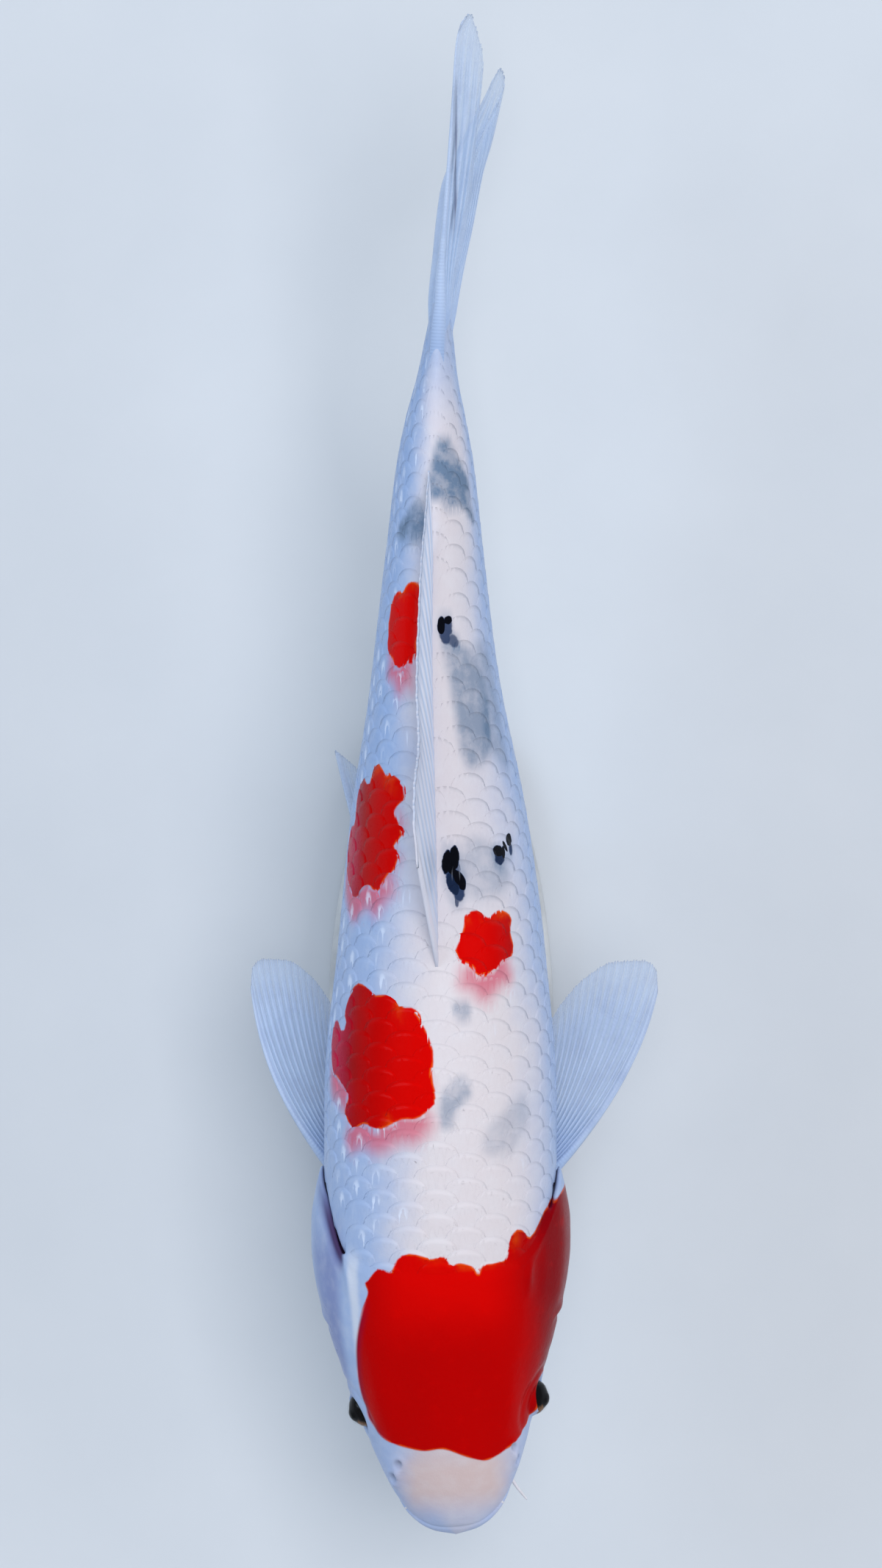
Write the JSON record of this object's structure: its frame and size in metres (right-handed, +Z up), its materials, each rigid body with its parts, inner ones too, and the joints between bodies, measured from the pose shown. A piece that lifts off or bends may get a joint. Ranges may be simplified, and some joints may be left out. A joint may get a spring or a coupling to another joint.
{
  "type": "koi carp model",
  "caption": "Life-size still model of a patterned koi carp, swimming level with its fins spread, on a low oval display stand.",
  "frame": {"origin": "middle of the display stand's flat underside, on the surface that it stands on", "axes": "+Y from the snout towards the tail, +X to the fish's own left, +Z up"},
  "size_m": [0.1409, 0.5153, 0.2133],
  "materials": {
    "skin": "wet white skin and scales with deep red and a few black patches",
    "mouth": "wet pale pink skin",
    "fin": "translucent membrane on pale rays",
    "eye": "wet black with a thin brown-gold ring",
    "base_paint": "satin pale grey",
    "rod_steel": "brushed"
  },
  "bodies": {
    "root": {"head": "skin", "jaw_lower": "mouth", "lip_upper": "mouth", "gill_cover_left": "skin", "gill_cover_right": "skin", "eye_left": "eye", "eye_right": "eye", "barbel_corner_left": "mouth", "barbel_corner_right": "mouth", "barbel_lip_left": "mouth", "barbel_lip_right": "mouth", "trunk_front": "skin", "trunk_middle": "skin", "tail_stalk": "skin", "fin_dorsal": "fin", "fin_anal": "fin", "fin_tail_upper": "fin", "fin_tail_lower": "fin", "fin_pectoral_left": "fin", "fin_pectoral_right": "fin", "fin_pelvic_left": "fin", "fin_pelvic_right": "fin", "stand_base": "base_paint", "stand_rod_front": "rod_steel", "stand_rod_rear": "rod_steel"}
  },
  "joints": []
}
